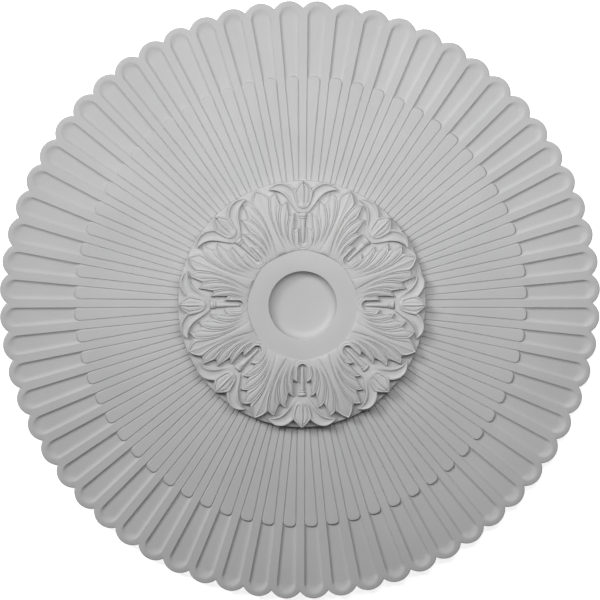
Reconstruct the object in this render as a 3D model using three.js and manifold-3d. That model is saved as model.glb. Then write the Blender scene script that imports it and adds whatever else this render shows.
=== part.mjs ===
import Module from 'manifold-3d';
import * as THREE from 'three';
import { mergeVertices } from 'three/addons/utils/BufferGeometryUtils.js';

// A ceiling rose moulded in one piece, lying on its flat back with the carved face up.
// Millimetres. The origin is the centre of the back, and +Z points out of the face.

// Rim and fluted field
const RIM_RADIUS = 460; // from the axis to the tips of the scallops
const RIM_LIP = 16; // height of the face at the rim
const FIELD_RISE = 10; // how much higher the field is where it meets the boss
const FIELD_SIDES = 16; // facets of the field's shallow cone, four flutes to each
const FLUTES = 64;
const SCALLOP_RADIUS = 26.5;
const SCALLOP_STEPS = 2; // straight lines in each half of a scallop
const FILLET_WIDTH = 13; // the flat between two flutes, at their round ends
const FLUTE_DEPTH = 4.5;
const FLUTE_WALL = 4; // how far a flute's walls slope in from the fillets to its floor
const CABLE_END_RADIUS = 346; // the flutes are filled by cables from the boss out to here
const CABLE_END_FILLET = 11.5; // the flat between two flutes, at the cables' ends
const PLATE_FILLET = 9.4; // the flat between two cables, at the boss
const GROOVE_WIDTH = 1.6; // the line between a cable and a fillet
const GROOVE_DEPTH = 1.2;

// Boss
const PLATE_RADIUS = 189;
const PLATE_TOP = 34;
const PLATE_EDGE = 2; // chamfer of the plate's edge
const COLLAR_RADIUS = 88; // where the roots of the leaves join up
const COLLAR_TOP = 48.5;
const BOSS_HEIGHT = 50;
const RING_RADIUS = 83.5;
const RING_TOP = 45.5;
const RING_SLOPE = 3; // run of the slope from the leaf roots down to the ring
const RECESS_RADIUS = 53;
const RECESS_FLOOR_RADIUS = 46;
const RECESS_FLOOR = 35;
const BOSS_SEGMENTS = 32;

// Acanthus leaves, each drawn along +X before it is turned into place
const LEAVES = 8;
const LEAF_FOOT = 31;
const LEAF_TIP = 184.5;
const LEAF_LOBES = [[107, 39], [130, 38.6], [150.5, 33.5], [170.5, 22.7]]; // tips of one side's lobes
const LEAF_NOTCH = 9; // how far the notches go in behind the lobe tips
const LEAF_MIDDLE = 112;
const LEAF_DOME = [88, 56, BOSS_HEIGHT - LEAF_FOOT]; // half axes of the cushion that rounds a leaf
const LEAF_FACETS = 10; // around the cushion
const RIB_ROOT = 9.5; // half width of the middle rib at the ring
const RIB_DEPTH = 1.2; // the rib is hollowed by this much

// Tulip buds between the leaves, each drawn along +X too
const BUD_FOOT = 31;
const BUD_EDGE = 2;
const STEM = { start: 85, end: 134, rootHalf: 3.5, neckHalf: 6, top: 39 };
const BAND = { start: 131.5, end: 138, half: 7.5, top: 41 };
const PETAL = { base: 136, belly: 164, half: 14.4, tip: 186.5, top: 40.5 };
const SIDE_PETAL = { tip: [173.8, 47.5], back: [144, 30], front: [172, 22], top: 39 };

const PITCH = (2 * Math.PI) / FLUTES;
const FLUTE_CENTRE = RIM_RADIUS - SCALLOP_RADIUS; // middle of a flute's round end and of its scallop
const FIELD_SLOPE = FIELD_RISE / (RIM_RADIUS - PLATE_RADIUS);

const wasm = await Module();
wasm.setup();

// A closed geometry as a solid that can be joined and cut.
function solidOf(geometry) {
  const bare = geometry.clone();
  bare.deleteAttribute('normal');
  bare.deleteAttribute('uv');
  const merged = mergeVertices(bare, 1e-4);
  const corners = merged.index.array;
  const kept = [];
  for (let i = 0; i < corners.length; i += 3) {
    const [a, b, c] = corners.slice(i, i + 3);
    if (a !== b && b !== c && c !== a) kept.push(a, b, c);
  }
  const vertProperties = new Float32Array(merged.attributes.position.array);
  const triVerts = new Uint32Array(kept);
  return new wasm.Manifold(new wasm.Mesh({ numProp: 3, vertProperties, triVerts }));
}

// The surface of a solid as a geometry.
function geometryOf(solid) {
  const { vertProperties, triVerts } = solid.getMesh();
  const geometry = new THREE.BufferGeometry();
  geometry.setAttribute('position', new THREE.BufferAttribute(new Float32Array(vertProperties), 3));
  geometry.setIndex(new THREE.BufferAttribute(new Uint32Array(triVerts), 1));
  geometry.computeVertexNormals();
  return geometry;
}

// A profile of [radius, height] pairs, from the axis round to the axis, turned about Z.
function turned(profile, segments) {
  const points = profile.map(([radius, height]) => new THREE.Vector2(radius, height));
  return new THREE.LatheGeometry(points, segments).rotateX(Math.PI / 2);
}

// A plan outline raised from one height to another. The edges at both ends slope in by a run over a rise.
function raised(shape, foot, top, run = 0, rise = run, curveSegments = 2) {
  const geometry = new THREE.ExtrudeGeometry(shape, {
    depth: top - foot - 2 * rise,
    bevelEnabled: run > 0,
    bevelThickness: rise,
    bevelSize: run,
    bevelOffset: -run,
    bevelSegments: 1,
    curveSegments,
  });
  return geometry.translate(0, 0, foot + rise);
}

// A plan outline through [x, y] corners.
function outline(corners) {
  return new THREE.Shape(corners.map(([x, y]) => new THREE.Vector2(x, y)));
}

// A straight-sided outline along +X, with its half width at each end.
function tapered(start, startHalf, end, endHalf) {
  return outline([[start, -startHalf], [end, -endHalf], [end, endHalf], [start, startHalf]]);
}

// Copies of a geometry, turned about the axis in equal steps, joined into one solid.
function around(geometry, count, firstAngle) {
  const copies = [];
  for (let i = 0; i < count; i++) {
    const angle = firstAngle + (i * 2 * Math.PI) / count;
    copies.push(solidOf(geometry.clone().rotateZ(angle)));
  }
  return wasm.Manifold.union(copies);
}

// The face's height at a radius on the field.
function fieldHeight(radius) {
  return RIM_LIP + FIELD_SLOPE * (RIM_RADIUS - radius);
}

// The rim's plan: one arc about the round end of each flute, meeting its neighbours in cusps.
function scallopedRim() {
  const halfChord = FLUTE_CENTRE * Math.sin(PITCH / 2);
  const cusp = FLUTE_CENTRE * Math.cos(PITCH / 2) + Math.sqrt(SCALLOP_RADIUS ** 2 - halfChord ** 2);
  const sweep = Math.atan2(cusp * Math.sin(PITCH / 2), cusp * Math.cos(PITCH / 2) - FLUTE_CENTRE);
  const shape = new THREE.Shape();
  for (let i = 0; i < FLUTES; i++) {
    const angle = (i + 0.5) * PITCH;
    const x = FLUTE_CENTRE * Math.cos(angle);
    const y = FLUTE_CENTRE * Math.sin(angle);
    shape.absarc(x, y, SCALLOP_RADIUS, angle - sweep, angle + sweep, false);
  }
  return shape;
}

// The plain field: a shallow cone with a flat back, cut to the scalloped rim.
function field() {
  const outside = RIM_RADIUS + SCALLOP_RADIUS;
  const profile = [[0, 0], [outside, 0], [outside, fieldHeight(outside)], [0, fieldHeight(0)]];
  const cone = turned(profile, FIELD_SIDES);
  const rim = raised(scallopedRim(), -RIM_LIP, 2 * BOSS_HEIGHT, 0, 0, SCALLOP_STEPS);
  return solidOf(cone).intersect(solidOf(rim));
}

// The boss without its carving: a plate on the field, and the collar that the leaves grow from.
function bossBlank() {
  const profile = [
    [0, RIM_LIP],
    [PLATE_RADIUS, RIM_LIP],
    [PLATE_RADIUS, PLATE_TOP - PLATE_EDGE],
    [PLATE_RADIUS - PLATE_EDGE, PLATE_TOP],
    [COLLAR_RADIUS, PLATE_TOP],
    [COLLAR_RADIUS, COLLAR_TOP],
    [0, COLLAR_TOP],
  ];
  return solidOf(turned(profile, BOSS_SEGMENTS));
}

// Half the width of a flute at a radius, between fillets of the given width.
function fluteHalfWidth(radius, fillet) {
  return radius * Math.tan(PITCH / 2) - fillet / 2;
}

// The space in one hollow flute along +X: a tapered tray, round at the rim, with sloping walls.
function fluteCutter() {
  const outer = fluteHalfWidth(FLUTE_CENTRE, FILLET_WIDTH);
  const inner = fluteHalfWidth(CABLE_END_RADIUS, CABLE_END_FILLET);
  const plan = new THREE.Shape();
  plan.moveTo(CABLE_END_RADIUS, inner);
  plan.lineTo(CABLE_END_RADIUS, -inner);
  plan.absarc(FLUTE_CENTRE, 0, outer, -Math.PI / 2, Math.PI / 2, false);
  const tray = raised(plan, -FLUTE_DEPTH, 2 * FLUTE_DEPTH, FLUTE_WALL, FLUTE_WALL + 1);
  tray.translate(-FLUTE_CENTRE, 0, 0).rotateY(Math.atan(FIELD_SLOPE));
  return tray.translate(FLUTE_CENTRE, 0, fieldHeight(FLUTE_CENTRE));
}

// The fine line on one side of a cable, from under the boss out into the hollow of the flute.
function grooveCutter(side) {
  const from = PLATE_RADIUS - FILLET_WIDTH;
  const to = CABLE_END_RADIUS + GROOVE_WIDTH;
  const fromHalf = fluteHalfWidth(from, PLATE_FILLET);
  const toHalf = fluteHalfWidth(to, CABLE_END_FILLET);
  const section = outline([[-GROOVE_WIDTH, GROOVE_DEPTH], [0, -GROOVE_DEPTH], [GROOVE_WIDTH, GROOVE_DEPTH]]);
  const line = new THREE.ExtrudeGeometry(section, { depth: to - from, bevelEnabled: false });
  line.rotateX(Math.PI / 2).rotateZ(Math.PI / 2).rotateY(Math.atan(FIELD_SLOPE));
  line.rotateZ(side * Math.atan2(toHalf - fromHalf, to - from));
  return line.translate(from, side * fromHalf, fieldHeight(from));
}

// The middle of the boss, cut away: the pocket over the flat ring, and the blind recess inside it.
function ringPocket() {
  const above = 2 * BOSS_HEIGHT;
  const climb = (RING_SLOPE * (above - RING_TOP)) / (COLLAR_TOP - RING_TOP);
  const profile = [
    [0, RECESS_FLOOR],
    [RECESS_FLOOR_RADIUS, RECESS_FLOOR],
    [RECESS_RADIUS, RING_TOP],
    [RING_RADIUS, RING_TOP],
    [RING_RADIUS + climb, above],
    [0, above],
  ];
  return solidOf(turned(profile, BOSS_SEGMENTS));
}

// One side of a leaf, from the root to the point: lobe tips with a notch between each two.
function leafSide() {
  const tips = [...LEAF_LOBES, [LEAF_TIP, 0]];
  const half = Math.PI / LEAVES;
  const side = [RECESS_RADIUS, COLLAR_RADIUS].map((r) => [r * Math.cos(half), r * Math.sin(half)]);
  tips.forEach(([x, y], i) => {
    if (i > 0) {
      const [lastX, lastY] = tips[i - 1];
      const inward = LEAF_NOTCH / Math.hypot(x - lastX, y - lastY);
      side.push([(lastX + x) / 2 + inward * (y - lastY), (lastY + y) / 2 - inward * (x - lastX)]);
    }
    side.push([x, y]);
  });
  return side;
}

// The cushion that rounds a leaf, sunk by a depth.
function leafDome(sunk) {
  const dome = new THREE.SphereGeometry(1, LEAF_FACETS, LEAF_FACETS / 2).rotateX(Math.PI / 2);
  return solidOf(dome.scale(...LEAF_DOME).translate(LEAF_MIDDLE, 0, LEAF_FOOT - sunk));
}

// One leaf: its lobed outline raised into a cushion, with its middle rib hollowed to a point.
function leaf() {
  const side = leafSide();
  const otherSide = side.map(([x, y]) => [x, -y]);
  const plan = outline([...otherSide, ...side.slice(0, -1).reverse()]);
  const blade = solidOf(raised(plan, LEAF_FOOT, 2 * BOSS_HEIGHT)).intersect(leafDome(0));
  const rib = outline([[RECESS_RADIUS, -RIB_ROOT], [LEAF_TIP - LEAF_NOTCH, 0], [RECESS_RADIUS, RIB_ROOT]]);
  const hollow = solidOf(raised(rib, LEAF_FOOT, 2 * BOSS_HEIGHT)).subtract(leafDome(RIB_DEPTH));
  return geometryOf(blade.subtract(hollow));
}

// The parts of one bud: stem, band, middle petal and two curling side petals.
function bud() {
  const stem = tapered(STEM.start, STEM.rootHalf, STEM.end, STEM.neckHalf);
  const band = tapered(BAND.start, BAND.half, BAND.end, BAND.half);
  const petal = new THREE.Shape();
  petal.moveTo(PETAL.base, 0);
  petal.quadraticCurveTo(PETAL.base, -PETAL.half, PETAL.belly, -PETAL.half);
  petal.quadraticCurveTo(PETAL.tip - BUD_EDGE, -PETAL.half, PETAL.tip, 0);
  petal.quadraticCurveTo(PETAL.tip - BUD_EDGE, PETAL.half, PETAL.belly, PETAL.half);
  petal.quadraticCurveTo(PETAL.base, PETAL.half, PETAL.base, 0);
  const parts = [
    raised(stem, BUD_FOOT, STEM.top),
    raised(band, BUD_FOOT, BAND.top),
    raised(petal, BUD_FOOT, PETAL.top, BUD_EDGE),
  ];
  for (const side of [1, -1]) {
    const curl = new THREE.Shape();
    const [tipX, tipY] = SIDE_PETAL.tip;
    curl.moveTo(PETAL.base, 0);
    curl.quadraticCurveTo(SIDE_PETAL.back[0], side * SIDE_PETAL.back[1], tipX, side * tipY);
    curl.quadraticCurveTo(SIDE_PETAL.front[0], side * SIDE_PETAL.front[1], PETAL.belly, 0);
    parts.push(raised(curl, BUD_FOOT, SIDE_PETAL.top, BUD_EDGE));
  }
  return geometryOf(wasm.Manifold.union(parts.map(solidOf)));
}

const moulding = field()
  .subtract(around(fluteCutter(), FLUTES, PITCH / 2))
  .subtract(around(grooveCutter(1), FLUTES, PITCH / 2))
  .subtract(around(grooveCutter(-1), FLUTES, PITCH / 2))
  .add(bossBlank())
  .add(around(bud(), LEAVES, 0))
  .add(around(leaf(), LEAVES, Math.PI / LEAVES))
  .subtract(ringPocket());

const primer = new THREE.MeshStandardMaterial({ color: 0xb9b9b9, roughness: 0.75, metalness: 0 });
const ceilingRose = new THREE.Mesh(geometryOf(moulding), primer);
ceilingRose.name = 'ceiling_rose';

const part = new THREE.Group();
part.add(ceilingRose);

export default part;
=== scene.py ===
"""A moulded ceiling rose: a scalloped sunburst of flutes round a boss of acanthus leaves and tulip buds."""
import math

import bmesh
import bpy
import numpy as np
from mathutils import Matrix, Vector


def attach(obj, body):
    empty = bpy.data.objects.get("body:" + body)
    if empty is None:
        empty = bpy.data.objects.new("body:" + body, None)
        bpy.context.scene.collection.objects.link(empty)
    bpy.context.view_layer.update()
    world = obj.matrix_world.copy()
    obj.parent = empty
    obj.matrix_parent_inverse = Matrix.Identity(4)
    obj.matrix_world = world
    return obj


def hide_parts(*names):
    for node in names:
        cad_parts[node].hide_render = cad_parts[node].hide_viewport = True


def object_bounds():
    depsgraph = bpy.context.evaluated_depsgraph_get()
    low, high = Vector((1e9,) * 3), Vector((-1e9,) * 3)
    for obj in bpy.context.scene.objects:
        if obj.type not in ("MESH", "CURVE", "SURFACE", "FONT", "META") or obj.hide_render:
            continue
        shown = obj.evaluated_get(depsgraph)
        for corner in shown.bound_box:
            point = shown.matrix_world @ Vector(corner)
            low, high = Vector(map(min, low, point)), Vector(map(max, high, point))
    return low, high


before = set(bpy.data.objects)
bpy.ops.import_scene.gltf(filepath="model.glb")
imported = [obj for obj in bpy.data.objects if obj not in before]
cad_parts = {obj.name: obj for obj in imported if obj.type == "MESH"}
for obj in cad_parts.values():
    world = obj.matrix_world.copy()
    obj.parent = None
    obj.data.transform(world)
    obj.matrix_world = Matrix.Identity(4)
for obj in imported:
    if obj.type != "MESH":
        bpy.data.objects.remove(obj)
CAD_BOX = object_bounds()

# Shapes are worked out in millimetres about the rose's axis, and turned into metres when a mesh is made.
MM = 0.001
WELD = 0.002

# Fluted disc
FLUTES = 64
HALF_PITCH = math.pi / FLUTES
RIM_RADIUS = CAD_BOX[1].x / MM / math.cos(HALF_PITCH)
SCALLOP_RADIUS = 26.5
SCALLOP_CENTRE = RIM_RADIUS - SCALLOP_RADIUS
RIM_ROUNDING = 1.9
RIM_TOP = 16.0
FIELD_TOP = 26.0
FLUTE_DEPTH = 3.4
SIDE_WALL = 6.2
SIDE_CURVE = 2.4
END_COVE = 12.5
END_CURVE = 1.8
GROOVE_WIDTH = 1.6
TIP_LIP = 7.4
FILLET_AT_PLATE = 9.4
FILLET_AT_CABLE_END = 11.5
FILLET_AT_ROUND_END = 13.0
CABLE_END = 346.0
CABLE_CORNER = 7.0
CABLE_SINK = 0.2
CABLE_EDGE = 0.4
CABLE_SIDE_SLOPE = 2.2
DISC_HOLE = 150.0

# Boss: the plate rises inward by (radius, height over its edge)
PLATE_RADIUS = 189.0
PLATE_TOP = 34.0
PLATE_ROUNDING = 1.6
PLATE_RISE = ((183.0, 0.0), (176.0, 1.6), (168.0, 4.0), (150.0, 5.2), (128.0, 5.8), (112.0, 6.6), (85.5, 7.4))
BOSS_UNDERSIDE = 12.0
RING_RADIUS = 82.5
RING_TOP = 45.5
RING_LOOPS = (3.0, -1.2, -12.0)
RECESS_RADIUS = 51.6
RECESS_EDGE = 1.0
RECESS_DISH_RADIUS = 39.0
RECESS_FLOOR = 33.0
RECESS_DISH = 0.8
RELIEF_FOOT = 30.0

# Leaf wreath: places are (along the leaf's axis, to its side)
LEAVES = 8
BUD_ANGLE = math.pi / LEAVES
LEAF_START = 82.0
LEAF_TIP = (188.4, 0.0)
LEAF_TIP_SHOULDER = (180.2, 9.6)
LOBE_NOTCHES = ((170.5, 15.0), (152.5, 27.2), (132.5, 33.0), (110.5, 31.0))
LOBE_TIPS = ((174.2, 26.0), (155.6, 37.2), (134.6, 41.8), (112.2, 39.0))
UPPER_BULGE = 0.04
LOWER_BULGE = -0.04
VEIN_ROOT_ANGLES = (6.5, 10.5, 14.5, 18.5)
VEIN_BENDS = (
    ((105.0, 6.0), (140.0, -2.0)),
    ((104.0, 11.0), (132.0, 6.0)),
    ((98.0, 16.0), (116.0, 16.0)),
    ((90.0, 23.0), (101.0, 22.0)),
)
LEAF_CROWN = 48.4
LEAF_CROWN_RADIUS = 103.0
LEAF_ROOT_STEP = 3.8
LEAF_TIP_TOP = 40.2
LEAF_SIDE_DROP = 3.6
LEAF_SIDE = 40.0
LEAF_EDGE_ROUNDING = 1.0
BAND_HEIGHT = 1.5
BAND_EDGE_DROP = 0.25
LOBE_END_BAND = 8.0
TIP_END_BAND = 10.0
TIP_BAND_HEIGHT = 2.0
TIP_SPLIT = 0.72
FULL_RELIEF_HALF_WIDTH = 4.2

# Slot and eye between two leaves: places are (along the bud's axis, to its side)
EYE_RADIUS = 6.9
EYE_CENTRE = 97.4
SLOT_MOUTH = (118.6, 6.9)
SLOT_BENDS = ((112.0, 7.0), (105.0, EYE_RADIUS))
SLOT_SHARE = 0.7
SLOT_ROOT_SHARE = 0.036
SLOT_ROOT_SPREAD = math.radians(2)

# Tulip bud: places are (along the bud's axis, to its side), and stem stations (along, half width, top)
BUD_TIP = 188.8
BUD_TIP_HALF_WIDTH = 0.5
PETAL_BASE = 148.0
PETAL_LENGTH = 40.0
PETAL_WIDEST = (172.0, 15.4)
PETAL_TOP = 41.6
PETAL_BASE_RISE = 1.1
PETAL_BORDER = 0.68
PETAL_EDGE_ROUNDING = 1.4
SIDE_PETAL_TIP = (174.0, 52.0)
SIDE_PETAL_UPPER = ((141.0, -0.8), (160.0, -2.5), (200.0, 18.0), (190.0, 44.0), SIDE_PETAL_TIP)
SIDE_PETAL_LOWER = ((141.0, 8.6), (153.0, 21.0), (166.0, 22.0), (176.0, 36.0), SIDE_PETAL_TIP)
SIDE_PETAL_TOP = 41.4
SIDE_PETAL_SWELL = 1.8
SIDE_PETAL_TROUGH = 2.5
SIDE_PETAL_FULL_WIDTH = 14.0
STEM_STATIONS = (
    (94.4, 2.4, 41.4), (95.2, 3.2, 43.2), (97.4, 3.6, 44.2), (106.0, 3.7, 44.6), (114.0, 4.1, 44.8),
    (122.0, 4.9, 44.8), (128.0, 5.5, 44.6), (130.4, 5.7, 44.4), (131.0, 5.5, 43.2), (131.6, 6.2, 43.6),
    (132.6, 6.9, 44.8), (133.8, 6.8, 44.6), (134.4, 6.4, 43.8), (135.0, 6.9, 44.4), (136.6, 7.6, 45.2),
    (138.8, 7.4, 44.8), (140.2, 6.8, 43.2), (141.4, 6.4, 40.0),
)

# Grid spacing: close together where a surface bends
INNER_ROWS = np.array([DISC_HOLE, 186.0, 250.0, 318.0])
CABLE_END_ROWS = CABLE_END + np.array([-14.0, -7.5, -4.0, -1.6, -0.6, 0.2, 1.0, 1.8, 2.8, 4.4, 8.0])
OUTER_ROWS = np.array([362.0, 395.0])
TIP_STEPS = np.linspace(0, 1, 9)
HALF_STEPS = np.array([0.36, 0.54, 0.6, 0.65, 0.72, 0.83, 0.93, 1])
LOBE_STEPS = np.concatenate([-HALF_STEPS[::-1], [0], HALF_STEPS])
SLOT_STEPS = np.linspace(0, 1, 17)
LEAF_ROWS = np.concatenate([
    [0, 0.008, 0.016, 0.025],
    np.linspace(0.06, 0.88, 12),
    np.linspace(0.9, 0.97, 8),
    [0.978, 0.985, 0.991, 0.996, 1],
])
PETAL_STEPS = np.array([0, 0.06, 0.11, 0.15, 0.2, 0.3, 0.45, 0.58, 0.64, 0.68, 0.72, 0.77, 0.85, 0.93, 1])


def eased(low, high, x):
    """Smooth step: 0 below low, 1 above high, and three t squared less two t cubed between."""
    t = np.clip((x - low) / (high - low), 0, 1)
    return t * t * (3 - 2 * t)


def bell(x, width):
    """A bell curve: the exponential of minus the square of x over the width."""
    return np.exp(-(x / width) ** 2)


def bezier(points, t):
    """A Bezier curve: each control point weighted by its Bernstein share at t."""
    order = len(points) - 1
    t = np.asarray(t, float)[..., None]
    shares = [math.comb(order, k) * t ** k * (1 - t) ** (order - k) for k in range(order + 1)]
    return sum(share * np.array(point, float) for share, point in zip(shares, points))


def polar(radius, degrees):
    """The plan point at a radius and an angle from the X axis."""
    return (radius * math.cos(math.radians(degrees)), radius * math.sin(math.radians(degrees)))


def grid_faces(rows, columns, wrap=False):
    """Quads between neighbouring rows and columns of a grid, joined end to start where it wraps."""
    index = np.arange(rows * columns).reshape(rows, columns)
    if wrap:
        index = np.hstack([index, index[:, :1]])
    corners = (index[:-1, :-1], index[:-1, 1:], index[1:, 1:], index[1:, :-1])
    return np.stack(corners, -1).reshape(-1, 4)


def turned(points, angle):
    """Points turned about the rose's axis."""
    c, s = math.cos(angle), math.sin(angle)
    return points @ np.array([[c, s, 0], [-s, c, 0], [0, 0, 1]])


def mirrored(points):
    """Points mirrored across the X axis in plan."""
    return points * np.array([1, -1, 1])


def round_the_axis(grid, copies, start=0.0):
    """Copies of a grid at even angles about the rose's axis."""
    return [turned(grid, start + 2 * math.pi * k / copies) for k in range(copies)]


def closed_shell(name, grids, wrap=False, fill=False):
    """One closed mesh from grids of points: quads in each, seams welded, holes filled flat, faces outward."""
    points, faces, count = [], [], 0
    for grid in grids:
        rows, columns = grid.shape[:2]
        points.append(grid.reshape(-1, 3))
        faces.append(grid_faces(rows, columns, wrap) + count)
        count += rows * columns
    mesh = bpy.data.meshes.new(name)
    mesh.from_pydata(np.concatenate(points) * MM, [], np.concatenate(faces).tolist())
    shell = bmesh.new()
    shell.from_mesh(mesh)
    bmesh.ops.remove_doubles(shell, verts=shell.verts, dist=WELD * MM)
    bmesh.ops.dissolve_degenerate(shell, edges=shell.edges, dist=WELD * MM)
    if fill:
        bmesh.ops.holes_fill(shell, edges=[e for e in shell.edges if e.is_boundary], sides=0)
    bmesh.ops.recalc_face_normals(shell, faces=shell.faces)
    shell.to_mesh(mesh)
    shell.free()
    piece = bpy.data.objects.new(name, mesh)
    bpy.context.scene.collection.objects.link(piece)
    return piece


def relief_block(top):
    """The grids of a closed block: its carved top, the same plan flat at the foot, and four side walls."""
    bottom = top * np.array([1, 1, 0]) + np.array([0, 0, RELIEF_FOOT])
    walls = [np.stack([top[edge], bottom[edge]]) for edge in (0, -1, np.s_[:, 0], np.s_[:, -1])]
    return [top, bottom] + walls


def field_top(radius):
    """The fillets' height: a shallow cone from the boss down to the rim."""
    return np.interp(radius, [PLATE_RADIUS, RIM_RADIUS], [FIELD_TOP, RIM_TOP])


def flute_floor_drop(inside, wall, curve=SIDE_CURVE):
    """How far a flute sinks inside its edge: depth times one less a power of the wall's share still to go."""
    u = np.clip(inside / wall, 0, 1)
    return FLUTE_DEPTH * (1 - (1 - u) ** curve)


def cable_rise(along, aside, half_width):
    """A cable's top over the field: nearly flush inside its round-cornered outline, and steep outside it."""
    past = np.maximum(along - (CABLE_END - CABLE_CORNER), 0)
    beside = np.maximum(aside - (half_width - CABLE_CORNER), 0)
    inside = CABLE_CORNER - np.hypot(past, beside)
    return -CABLE_SINK - CABLE_SIDE_SLOPE * np.maximum(CABLE_EDGE - inside, 0)


def flute_columns(boundary, edge, wall, axis):
    """Places across half a flute: the fillet's middle and edge, steps down the wall, the flute's middle."""
    floor = edge + wall
    parts = [boundary, edge - 0.8, edge, edge + 0.25 * wall, edge + 0.5 * wall, edge + 0.75 * wall, floor]
    parts += [floor + (axis - floor) * share for share in (0.5, 1)]
    return np.stack(np.broadcast_arrays(*parts), -1)


def straight_flute():
    """Half a flute from the boss to its round end: rows square to the fillet, bent round the cable's end."""
    last_row = SCALLOP_CENTRE * math.cos(HALF_PITCH)
    rows = np.concatenate([INNER_ROWS, CABLE_END_ROWS, OUTER_ROWS, [last_row]])[:, None]
    stations = [PLATE_RADIUS, CABLE_END, last_row]
    fillet = np.interp(rows, stations, [FILLET_AT_PLATE, FILLET_AT_CABLE_END, FILLET_AT_ROUND_END]) / 2
    middle = rows * math.tan(HALF_PITCH)
    opening = eased(CABLE_END - 8, CABLE_END + 10, rows)
    wall = 2 * GROOVE_WIDTH + (SIDE_WALL - 2 * GROOVE_WIDTH) * opening
    wall = np.minimum(wall, 0.7 * (middle - fillet))
    across = flute_columns(0 * rows, fillet, wall, middle)[:, 0, :]
    cable_half = middle - fillet - GROOVE_WIDTH
    aside = middle - across
    beyond = np.clip((aside - (cable_half - CABLE_CORNER)) / CABLE_CORNER, 0, 0.96)
    bend = CABLE_CORNER * (1 - np.sqrt(1 - beyond ** 2)) * np.clip(across / fillet, 0, 1)
    near_end = eased(CABLE_END - 24, CABLE_END - 5, rows) * eased(CABLE_END + 20, CABLE_END + 4, rows)
    along = rows - bend * near_end
    x = along * math.cos(HALF_PITCH) + across * math.sin(HALF_PITCH)
    y = along * math.sin(HALF_PITCH) - across * math.cos(HALF_PITCH)
    flute = -flute_floor_drop(across - fillet, wall)
    cable = cable_rise(x, aside, cable_half)
    z = field_top(np.hypot(x, y)) + np.maximum(flute, cable)
    return np.stack([x, y, z], -1)


def sweep_angles(distance, steps):
    """Angles about a scallop's centre at a distance, from the line between two scallops to the tip."""
    side = SCALLOP_CENTRE * math.sin(HALF_PITCH)
    first = np.arccos(side / distance)
    return first + steps * (math.pi / 2 + HALF_PITCH - first)


def scallop_points(angle, distance, z):
    """Points about a scallop's centre, with angles from the square to the fillet round towards the tip."""
    turn = math.pi / 2 + HALF_PITCH - angle
    x = SCALLOP_CENTRE + distance * np.cos(turn)
    y = distance * np.sin(turn)
    return np.stack(np.broadcast_arrays(x, y, z(np.hypot(x, y))), -1)


def round_flute_end():
    """Half a flute's round end: rays from the scallop's centre, with a cove that widens towards the tip."""
    side = SCALLOP_CENTRE * math.sin(HALF_PITCH)
    lip = SCALLOP_RADIUS - RIM_ROUNDING
    first = math.acos(side / lip)
    angles = np.concatenate([np.linspace(0, first, 4)[:-1], sweep_angles(lip, TIP_STEPS)])[:, None]
    boundary = np.minimum(side / np.cos(np.minimum(angles, first)), lip)
    straight = side - FILLET_AT_ROUND_END / 2
    edge = straight + (SCALLOP_RADIUS - TIP_LIP - straight) * eased(0, 1.5, angles)
    widening = eased(0.25, 1.25, angles)
    wall = SIDE_WALL + (END_COVE - SIDE_WALL) * widening
    curve = SIDE_CURVE + (END_CURVE - SIDE_CURVE) * widening
    inward = flute_columns(-boundary, -edge, wall, 0 * angles)[:, 0, :]
    drop = flute_floor_drop(inward + edge, wall, curve)
    return scallop_points(angles, -inward, lambda radius: field_top(radius) - drop)


def scalloped_rim():
    """Half a scallop's edge: a quarter round from lip to outline, then straight down to the back."""
    turn = np.linspace(0, math.pi / 2, 4)
    distance = SCALLOP_RADIUS - RIM_ROUNDING * (1 - np.sin(turn))
    drop = RIM_ROUNDING * (1 - np.cos(turn))
    angles = sweep_angles(distance[None, :], TIP_STEPS[:, None])
    edge = scallop_points(angles, distance, lambda radius: field_top(radius) - drop)
    foot = edge[:, -1:] * np.array([1, 1, 0])
    return np.concatenate([edge, foot], 1)


def fluted_disc():
    """The field: sixty-four flutes, each two mirrored halves, closed by a flat back."""
    grids = []
    for half in (straight_flute(), round_flute_end(), scalloped_rim()):
        for side in (half, mirrored(half)):
            grids += round_the_axis(side, FLUTES, HALF_PITCH)
    return closed_shell("fluted_disc", grids, fill=True)


def quarter_round(centre, radius, start, end, steps=5):
    """Points of an arc in a profile, from one angle to another in degrees."""
    turn = np.radians(np.linspace(start, end, steps))
    return [(centre[0] + radius * math.cos(a), centre[1] + radius * math.sin(a)) for a in turn]


def centre_boss():
    """The boss under the leaves, a profile turned about the axis: plate, ring and recess with coved foot."""
    cove = RING_TOP - RECESS_EDGE - RECESS_FLOOR
    plate_edge = (PLATE_RADIUS - PLATE_ROUNDING, PLATE_TOP - PLATE_ROUNDING)
    profile = [(0, BOSS_UNDERSIDE), (PLATE_RADIUS, BOSS_UNDERSIDE)]
    profile += quarter_round(plate_edge, PLATE_ROUNDING, 0, 90)
    profile += [(radius, PLATE_TOP + rise) for radius, rise in PLATE_RISE]
    profile += [(RING_RADIUS + past, RING_TOP) for past in RING_LOOPS]
    profile += quarter_round((RECESS_RADIUS + RECESS_EDGE, RING_TOP - RECESS_EDGE), RECESS_EDGE, 90, 180)
    profile += quarter_round((RECESS_RADIUS - cove, RECESS_FLOOR + cove), cove, -8, -84, 9)
    for share in (1, 0.6, 0.3, 0):
        profile.append((RECESS_DISH_RADIUS * share, RECESS_FLOOR - RECESS_DISH * (1 - share ** 2)))
    r, z = np.array(profile).T[:, :, None]
    turn = np.linspace(0, 2 * math.pi, 192, endpoint=False)[None, :]
    grid = np.stack([r * np.cos(turn), r * np.sin(turn), z + 0 * turn], -1)
    return closed_shell("centre_boss", [grid], wrap=True)


def vein(number, s):
    """The groove between two lobes, a Bezier curve from the ring to a notch of the outline."""
    root = polar(LEAF_START, VEIN_ROOT_ANGLES[number])
    return bezier((root, *VEIN_BENDS[number], LOBE_NOTCHES[number]), s)


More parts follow.
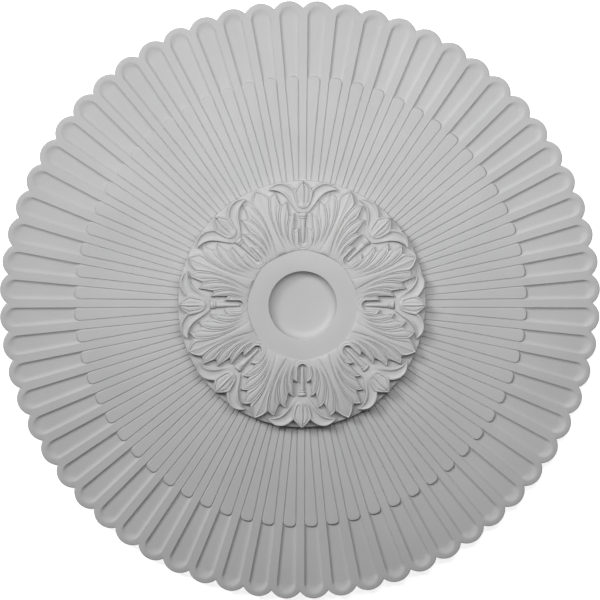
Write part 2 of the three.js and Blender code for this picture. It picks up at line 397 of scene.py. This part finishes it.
def bulged(start, end, bulge, t):
    """An edge from start to end, bowed to its right by a share of its length, or to its left if negative."""
    start, end = np.array(start), np.array(end)
    run = end - start
    bow = (start + end) / 2 + 2 * bulge * np.array([run[1], -run[0]])
    return bezier((start, bow, end), t)


def slot_edge(t, out=0.0):
    """The last lobe's edge moved out by a distance: a curve down the slot, then an arc round the eye."""
    slot = (SLOT_MOUTH, *SLOT_BENDS, (EYE_CENTRE, EYE_RADIUS))
    straight = bezier(slot, np.clip(t / SLOT_SHARE, 0, 1))
    turn = np.clip((t - SLOT_SHARE) / (1 - SLOT_SHARE), 0, 1) * math.pi / 2
    square = np.stack([-np.sin(turn), np.cos(turn)], -1)
    eye = np.array([EYE_CENTRE, 0]) + EYE_RADIUS * square
    place = np.where((t < SLOT_SHARE)[..., None], straight, eye) + np.asarray(out)[..., None] * square
    c, s = math.cos(BUD_ANGLE), math.sin(BUD_ANGLE)
    return place @ np.array([[c, s], [s, -c]])


def slot_distance(s):
    """How far a strip is from the slot's edge: it falls evenly from the ring to the edge."""
    return (1 - s)[:, None] * (EYE_CENTRE - EYE_RADIUS - LEAF_START)


def slot_strips(w, s):
    """Strips that flow round the eye: each leaves the ring and nears the slot's edge as it runs along it."""
    run = SLOT_ROOT_SHARE + (1 - SLOT_ROOT_SHARE) * s
    plan = slot_edge(1 - run[:, None] * (1 - w)[None, :], slot_distance(s) + 0 * w[None, :])
    turn = BUD_ANGLE - SLOT_ROOT_SPREAD * (1 - w)
    root = LEAF_START * np.stack([np.cos(turn), np.sin(turn)], -1)
    return plan + ((1 - s) ** 6)[:, None, None] * (root - plan[0])[None]


def lobe_outline(number, w):
    """A lobe's outline from its upper notch, round the tip, to the next notch, as w runs from -1 to 1."""
    tip = LOBE_TIPS[number]
    upper = bulged(LOBE_NOTCHES[number], tip, UPPER_BULGE, 1 + np.minimum(w, 0))
    if number + 1 < len(LOBE_NOTCHES):
        lower = bulged(tip, LOBE_NOTCHES[number + 1], LOWER_BULGE, np.maximum(w, 0))
    else:
        lower = slot_edge(np.maximum(w, 0))
    return np.where((w < 0)[:, None], upper, lower)


def leaf_dome(x, y):
    """The cushion's height: a parabola up to the crown, another down to the tip, lower at root and sides."""
    r = np.hypot(x, y)
    root = LEAF_ROOT_STEP * eased(LEAF_START + 2.4, LEAF_START - 0.8, r)
    inner = LEAF_CROWN - 0.5 * ((LEAF_CROWN_RADIUS - r) / 15) ** 2 - root
    fall = (LEAF_CROWN - LEAF_TIP_TOP) / (LEAF_TIP[0] - LEAF_CROWN_RADIUS) ** 2
    outer = LEAF_CROWN - fall * (r - LEAF_CROWN_RADIUS) ** 2
    return np.where(r < LEAF_CROWN_RADIUS, inner, outer) - LEAF_SIDE_DROP * (y / LEAF_SIDE) ** 2


def looped_bands(e, split=0.6):
    """Relief across a lobe: a rounded border and a rounded tongue, with a groove at the split."""
    border = 1 - ((e - (1 + split) / 2) / ((1 - split) / 2)) ** 2
    tongue = 1 - (e / split) ** 2
    return np.clip(np.where(e > split, border, tongue), 0, 1) ** 0.45


def strip_length(plan):
    """Length along each column of a plan grid, from each row to the last."""
    steps = np.hypot(*np.moveaxis(np.diff(plan, axis=0), -1, 0))
    return np.concatenate([np.cumsum(steps[::-1], 0)[::-1], np.zeros((1, plan.shape[1]))])


def edge_round(left, rounding):
    """How far a surface drops over a quarter round as it nears its edge."""
    u = np.clip(1 - left / rounding, 0, 1)
    return rounding * (1 - np.sqrt(1 - u ** 2 * 0.98))


def pushed_out(plan, outline):
    """A plan grid whose rows shift, by a power of their share of the way, until the last is the outline."""
    return plan + (LEAF_ROWS ** 2.5)[:, None, None] * (outline - plan[-1])[None]


def rounded_max(aside, left, end_band):
    """Nearness to a lobe's edge: fourth root of the summed fourth powers of nearness to sides and end."""
    ending = np.clip(1 - left / end_band, 0, 1)
    return (aside ** 4 + ending ** 4) ** 0.25


def leaf_surface(plan, relief, left):
    """Points of a leaf: the cushion with its relief, rounded over at the edge."""
    z = leaf_dome(plan[..., 0], plan[..., 1]) + relief - edge_round(left, LEAF_EDGE_ROUNDING)
    return np.concatenate([plan, z[..., None]], -1)


def lobe_surface(plan, left, aside, half):
    """A side lobe's points: looped bands that fade towards the ring and where the lobe is narrow."""
    e = rounded_max(aside, left, LOBE_END_BAND)
    strength = np.clip(half / FULL_RELIEF_HALF_WIDTH, 0, 1) * eased(0.1, 0.55, LEAF_ROWS)[:, None]
    relief = strength * (BAND_HEIGHT * looped_bands(e) - BAND_EDGE_DROP * eased(0.8, 1, e))
    return leaf_surface(plan, relief, left)


def lobe_grid(number):
    """One of the three outer side lobes: a strip between two veins, pushed out to the outline."""
    m = (LOBE_STEPS[None, :, None] + 1) / 2
    upper, lower = vein(number, LEAF_ROWS)[:, None], vein(number + 1, LEAF_ROWS)[:, None]
    plan = pushed_out((1 - m) * upper + m * lower, lobe_outline(number, LOBE_STEPS))
    half = np.hypot(*np.moveaxis(lower - upper, -1, 0)) / 2
    return lobe_surface(plan, strip_length(plan), np.abs(LOBE_STEPS)[None, :], half)


def slot_lobe_grid():
    """The last side lobe: a strip from its vein to its tip, like the others, then strips along the slot."""
    number = len(LOBE_TIPS) - 1
    w = LOBE_STEPS[:len(HALF_STEPS)]
    m = w[None, :, None] + 1
    upper = vein(number, LEAF_ROWS)[:, None]
    along = slot_strips(SLOT_STEPS, LEAF_ROWS)
    plan = pushed_out((1 - m) * upper + m * along[:, :1], lobe_outline(number, w))
    out = slot_distance(LEAF_ROWS)
    left = strip_length(plan) * -w[None, :] + out * (1 + w[None, :])
    left = np.concatenate([left, out + 0 * SLOT_STEPS[None, :]], 1)
    aside = np.concatenate([-w, 0 * SLOT_STEPS])[None, :]
    half = np.hypot(*np.moveaxis(along[:, :1] - upper, -1, 0))
    return lobe_surface(np.concatenate([plan, along], 1), left, aside, half)


def tip_grid():
    """Half the middle rib and tip lobe: a strip from the leaf's axis to the first vein, ending in a point."""
    w = np.linspace(0, 1, 12)
    s = LEAF_ROWS
    axis = bezier(((LEAF_START, 0), (130, 0), LEAF_TIP), s)[:, None]
    side = vein(0, s)[:, None]
    m = w[None, :, None]
    plan = pushed_out((1 - m) * axis + m * side, bezier((LEAF_TIP, LEAF_TIP_SHOULDER, LOBE_NOTCHES[0]), w))
    left = strip_length(plan)
    e = rounded_max(w[None, :], left, TIP_END_BAND)
    rib = 1.2 * (1 - w[None, :] ** 2) ** 0.8 - 0.8 * eased(0.75, 1, w[None, :])
    spoon = TIP_BAND_HEIGHT * looped_bands(e, TIP_SPLIT) * np.where(e > TIP_SPLIT, 1, 0.4)
    spoon = spoon + 0.9 * bell(plan[..., 1], 1.3)
    blade = eased(0.45, 0.7, s)[:, None]
    strength = np.clip(side[..., 1] / FULL_RELIEF_HALF_WIDTH, 0.6, 1) * eased(0, 0.08, s)[:, None]
    return leaf_surface(plan, strength * (rib * (1 - blade) + spoon * blade), left)


def leaf_wreath():
    """Eight leaves joined at their roots, one grid whose rows run from the ring to the leaves' outline."""
    lobes = [lobe_grid(number) for number in range(len(LOBE_TIPS) - 1)] + [slot_lobe_grid()]
    half = np.concatenate([tip_grid()] + [lobe[:, 1:] for lobe in lobes], 1)
    leaf = np.concatenate([mirrored(half)[:, :0:-1], half[:, :-1]], 1)
    top = np.concatenate(round_the_axis(leaf, LEAVES, BUD_ANGLE), 1)
    foot = top[[-1, 0]] * np.array([1, 1, 0]) + np.array([0, 0, RELIEF_FOOT])
    ring = np.concatenate([top, foot, top[:1]])
    return closed_shell("leaf_wreath", [ring], wrap=True)


def bud_blocks(name, top):
    """Eight closed blocks with the same carved top, one for each bud."""
    grids = [grid for side in relief_block(top) for grid in round_the_axis(side, LEAVES)]
    return closed_shell(name, grids)


def bud_stems():
    """Eight stems with collars: flattened half rounds along each bud's axis, by stations of width and top."""
    x, half, top = np.array(STEM_STATIONS).T[:, :, None]
    turn = np.linspace(0, math.pi, 13)[None, :]
    foot = PLATE_TOP - 2
    z = foot + (top - foot) * np.sin(turn) ** 0.6
    return bud_blocks("bud_stems", np.stack(np.broadcast_arrays(x, half * np.cos(turn), z), -1))


def middle_petals():
    """Eight middle petals: a width that swells along the bud and closes to a point, border and midrib."""
    low = bezier(((PETAL_BASE, 5.0), (149.5, 10.5), (160.0, 12.6), PETAL_WIDEST), np.linspace(0, 1, 12))
    high = bezier((PETAL_WIDEST, (180.0, 10.6), (BUD_TIP, BUD_TIP_HALF_WIDTH)), np.linspace(0, 1, 14)[1:])
    x, half = np.concatenate([low, high]).T[:, :, None]
    w = np.concatenate([-PETAL_STEPS[:0:-1], PETAL_STEPS])[None, :]
    aside = np.abs(w)
    base = np.clip(1 - (x - PETAL_BASE - 3) / 9, 0, 1)
    point = np.clip(1 - (BUD_TIP - x) / 12, 0, 1)
    e = (aside ** 4 + base ** 4 + point ** 4) ** 0.25
    swell = 2.0 * np.sin(np.clip((x - PETAL_BASE) / PETAL_LENGTH, 0, 1) * math.pi * 0.62)
    belly = PETAL_TOP + swell + 1.6 * (1 - aside) + PETAL_BASE_RISE * eased(168, 150, x)
    border = 0.8 * eased(PETAL_BORDER, PETAL_BORDER + 0.12, e) - 1.2 * bell(e - PETAL_BORDER, 0.06)
    midrib = (bell(w, 0.09) - 0.7 * bell(aside - 0.2, 0.07)) * (1 - base)
    edge = edge_round(half * (1 - aside), PETAL_EDGE_ROUNDING) + 1.2 * point ** 4
    z = belly + border + midrib - edge
    return bud_blocks("middle_petals", np.stack(np.broadcast_arrays(x, half * w, z), -1))


def side_petals(side):
    """Eight crescent petals on one side of the buds: a strip between two curves, hollow along its middle."""
    t = np.linspace(0, 1, 26)
    upper = bezier(SIDE_PETAL_UPPER, t)[:, None]
    lower = bezier(SIDE_PETAL_LOWER, t)[:, None]
    plan = upper + (lower - upper) * (LOBE_STEPS[None, :, None] + 1) / 2
    width = np.hypot(*np.moveaxis(lower - upper, -1, 0))
    aside = np.abs(LOBE_STEPS)[None, :]
    strength = np.clip(width / SIDE_PETAL_FULL_WIDTH, 0, 1) * eased(0.12, 0.4, t)[:, None]
    trough = SIDE_PETAL_TROUGH * strength * (1 - eased(0.4, 0.76, aside))
    swell = SIDE_PETAL_SWELL * np.sin(math.pi * np.clip(t * 0.9 + 0.1, 0, 1))[:, None]
    z = SIDE_PETAL_TOP + swell - trough - edge_round(width / 2 * (1 - aside), PETAL_EDGE_ROUNDING)
    grid = np.concatenate([plan, z[..., None]], -1)
    return bud_blocks("side_petals", grid if side > 0 else mirrored(grid))


def joined(base, parts):
    """One closed solid of the base and every part; the shapes it is made from are removed."""
    for part in parts:
        union = base.modifiers.new("union", "BOOLEAN")
        union.operation = "UNION"
        union.solver = "MANIFOLD"
        union.object = part
    whole = base.evaluated_get(bpy.context.evaluated_depsgraph_get())
    mesh = bpy.data.meshes.new_from_object(whole)
    for part in [base, *parts]:
        bpy.data.objects.remove(part)
    return mesh


def primed_finish():
    """Matt grey primer: fine sprayed grain, faint cloudiness in the colour and slightly varied roughness."""
    finish = bpy.data.materials.new("matt_grey_primer")
    finish.use_nodes = True
    nodes, links = finish.node_tree.nodes, finish.node_tree.links
    shader = nodes["Principled BSDF"]
    place = nodes.new("ShaderNodeTexCoord")

    def noise(scale, detail):
        """Fractal noise over the piece's own coordinates."""
        texture = nodes.new("ShaderNodeTexNoise")
        texture.inputs["Scale"].default_value = scale
        texture.inputs["Detail"].default_value = detail
        links.new(place.outputs["Object"], texture.inputs["Vector"])
        return texture.outputs["Fac"]

    def ramp(source, low, high):
        """A colour that runs from low to high over the middle of the noise's range."""
        band = nodes.new("ShaderNodeValToRGB")
        band.color_ramp.elements[0].position = 0.3
        band.color_ramp.elements[1].position = 0.7
        band.color_ramp.elements[0].color = (*low, 1)
        band.color_ramp.elements[1].color = (*high, 1)
        links.new(source, band.inputs["Fac"])
        return band.outputs["Color"]

    links.new(ramp(noise(9.0, 4.0), (0.436, 0.436, 0.438), (0.47, 0.47, 0.47)), shader.inputs["Base Color"])
    links.new(ramp(noise(60.0, 3.0), (0.62,) * 3, (0.72,) * 3), shader.inputs["Roughness"])
    grain = nodes.new("ShaderNodeBump")
    grain.inputs["Strength"].default_value = 0.3
    grain.inputs["Distance"].default_value = 0.0008
    links.new(noise(300.0, 3.0), grain.inputs["Height"])
    links.new(grain.outputs["Normal"], shader.inputs["Normal"])
    shader.inputs["Specular IOR Level"].default_value = 0.3
    return finish


def studio_floor():
    """A wide pale floor under the rose, glowing slightly so that it shows as white."""
    corner = 30.0
    mesh = bpy.data.meshes.new("studio_floor")
    corners = [(-corner, -corner, 0), (corner, -corner, 0), (corner, corner, 0), (-corner, corner, 0)]
    mesh.from_pydata(corners, [], [(0, 1, 2, 3)])
    floor = bpy.data.objects.new("studio_floor", mesh)
    bpy.context.scene.collection.objects.link(floor)
    pale = bpy.data.materials.new("pale_floor")
    pale.use_nodes = True
    shader = pale.node_tree.nodes["Principled BSDF"]
    shader.inputs["Base Color"].default_value = (0.9, 0.9, 0.9, 1)
    shader.inputs["Roughness"].default_value = 0.9
    shader.inputs["Specular IOR Level"].default_value = 0.1
    shader.inputs["Emission Color"].default_value = (1, 1, 1, 1)
    shader.inputs["Emission Strength"].default_value = 0.75
    mesh.materials.append(pale)
    return floor


def soft_light(name, place, aim, size, watts):
    """A soft light panel at a place, aimed at a point."""
    lamp = bpy.data.lights.new(name, "AREA")
    lamp.shape = "RECTANGLE"
    lamp.size, lamp.size_y = size
    lamp.energy = watts
    light = bpy.data.objects.new(name, lamp)
    light.location = place
    light.rotation_euler = (Vector(aim) - Vector(place)).to_track_quat("-Z", "Y").to_euler()
    bpy.context.scene.collection.objects.link(light)


def far_light(name, azimuth, elevation, spread, strength):
    """A distant soft light from an azimuth and an elevation, with its spread, all in degrees."""
    lamp = bpy.data.lights.new(name, "SUN")
    lamp.angle = math.radians(spread)
    lamp.energy = strength
    light = bpy.data.objects.new(name, lamp)
    level = math.cos(math.radians(elevation))
    towards = Vector((*[c * level for c in polar(1, azimuth)], math.sin(math.radians(elevation))))
    light.rotation_euler = towards.to_track_quat("Z", "Y").to_euler()
    bpy.context.scene.collection.objects.link(light)


def studio_light():
    """A soft panel over the rose, a far light from its upper left, and a faint surround seen as white."""
    soft_light("near_light", place=(0, 0.4, 0.9), aim=(0, 0, 0), size=(1.4, 0.4), watts=9.3)
    far_light("far_light", azimuth=142, elevation=35, spread=16, strength=1.55)
    world = bpy.data.worlds.new("white_surround")
    world.use_nodes = True
    nodes, links = world.node_tree.nodes, world.node_tree.links
    nodes["Background"].inputs["Color"].default_value = (1, 1, 1, 1)
    rays = nodes.new("ShaderNodeLightPath")
    strength = nodes.new("ShaderNodeMapRange")
    strength.inputs["To Min"].default_value = 0.09
    strength.inputs["To Max"].default_value = 1.0
    links.new(rays.outputs["Is Camera Ray"], strength.inputs["Value"])
    links.new(strength.outputs["Result"], nodes["Background"].inputs["Strength"])
    bpy.context.scene.world = world
    bpy.context.scene.view_settings.view_transform = "Standard"


def photo_camera():
    """The photograph's view: from nearly straight above, a little to the upper left, with a long lens."""
    distance = 4.07
    place = distance * Vector((-0.056, 0.102, 0.9932)) + Vector((0, 0, 0.008))
    aim = Vector((-0.0021, 0.0042, 0.008))
    back = (place - aim).normalized()
    roll = math.radians(0.31)
    right = Vector((-math.sin(roll), math.cos(roll), 0)).cross(back).normalized()
    upward = back.cross(right)
    lens = bpy.data.cameras.new("photo_camera")
    lens.sensor_width = 36.0
    lens.lens = 159.35
    camera = bpy.data.objects.new("photo_camera", lens)
    camera.matrix_world = Matrix.Translation(place) @ Matrix((right, upward, back)).transposed().to_4x4()
    bpy.context.scene.collection.objects.link(camera)
    bpy.context.scene.camera = camera


def rose_moulding():
    """The whole rose as one closed moulding, smooth but for its true edges."""
    parts = [centre_boss(), leaf_wreath(), bud_stems(), middle_petals(), side_petals(1), side_petals(-1)]
    mesh = joined(fluted_disc(), parts)
    mesh.name = "rose_moulding"
    mesh.materials.clear()
    mesh.materials.append(primed_finish())
    mesh.shade_smooth()
    mesh.set_sharp_from_angle(angle=math.radians(42))
    piece = bpy.data.objects.new("rose_moulding", mesh)
    bpy.context.scene.collection.objects.link(piece)
    return piece


photo_camera()
studio_light()
studio_floor()

rose = rose_moulding()
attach(rose, "root")
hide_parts("ceiling_rose")
